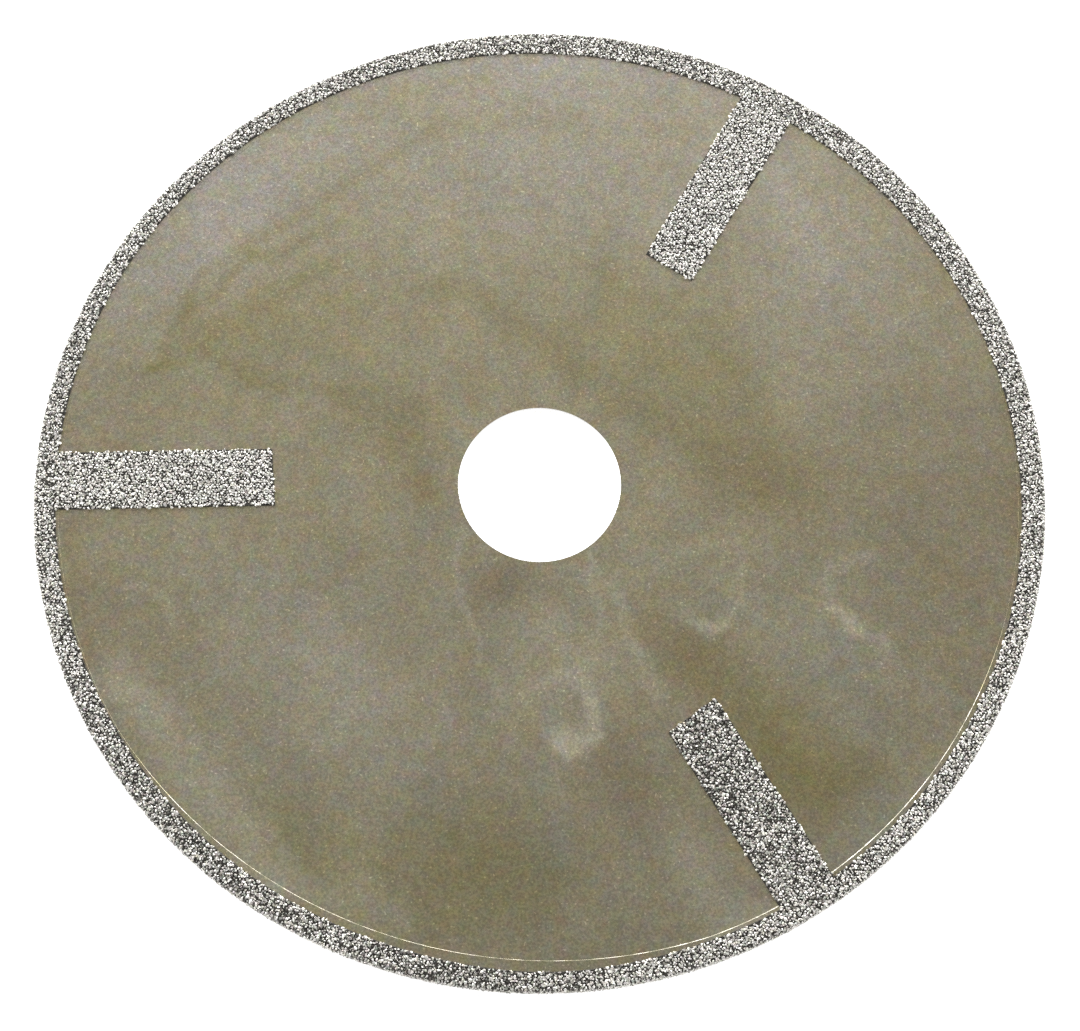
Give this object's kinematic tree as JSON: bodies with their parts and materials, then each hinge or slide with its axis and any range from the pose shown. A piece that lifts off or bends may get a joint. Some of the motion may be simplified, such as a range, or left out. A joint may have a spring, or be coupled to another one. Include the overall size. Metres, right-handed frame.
{
  "type": "diamond cut-off wheel",
  "caption": "Thin flat steel wheel with a plain centre bore, a rim coated in diamond grit and bars of grit on both faces, for cutting stone, tile, glass and hard plastics.",
  "frame": {"origin": "centre of the bore, halfway through the wheel's thickness", "axes": "+Z along the wheel's axis, out of the front face; the wheel lies flat in the XY plane with its leftmost bar of grit near -X"},
  "size_m": [0.125, 0.125, 0.002],
  "materials": {
    "plate": "satin",
    "grit": "matte"
  },
  "bodies": {
    "root": {"steel_disc": "plate", "diamond_coating": "grit"}
  },
  "joints": []
}
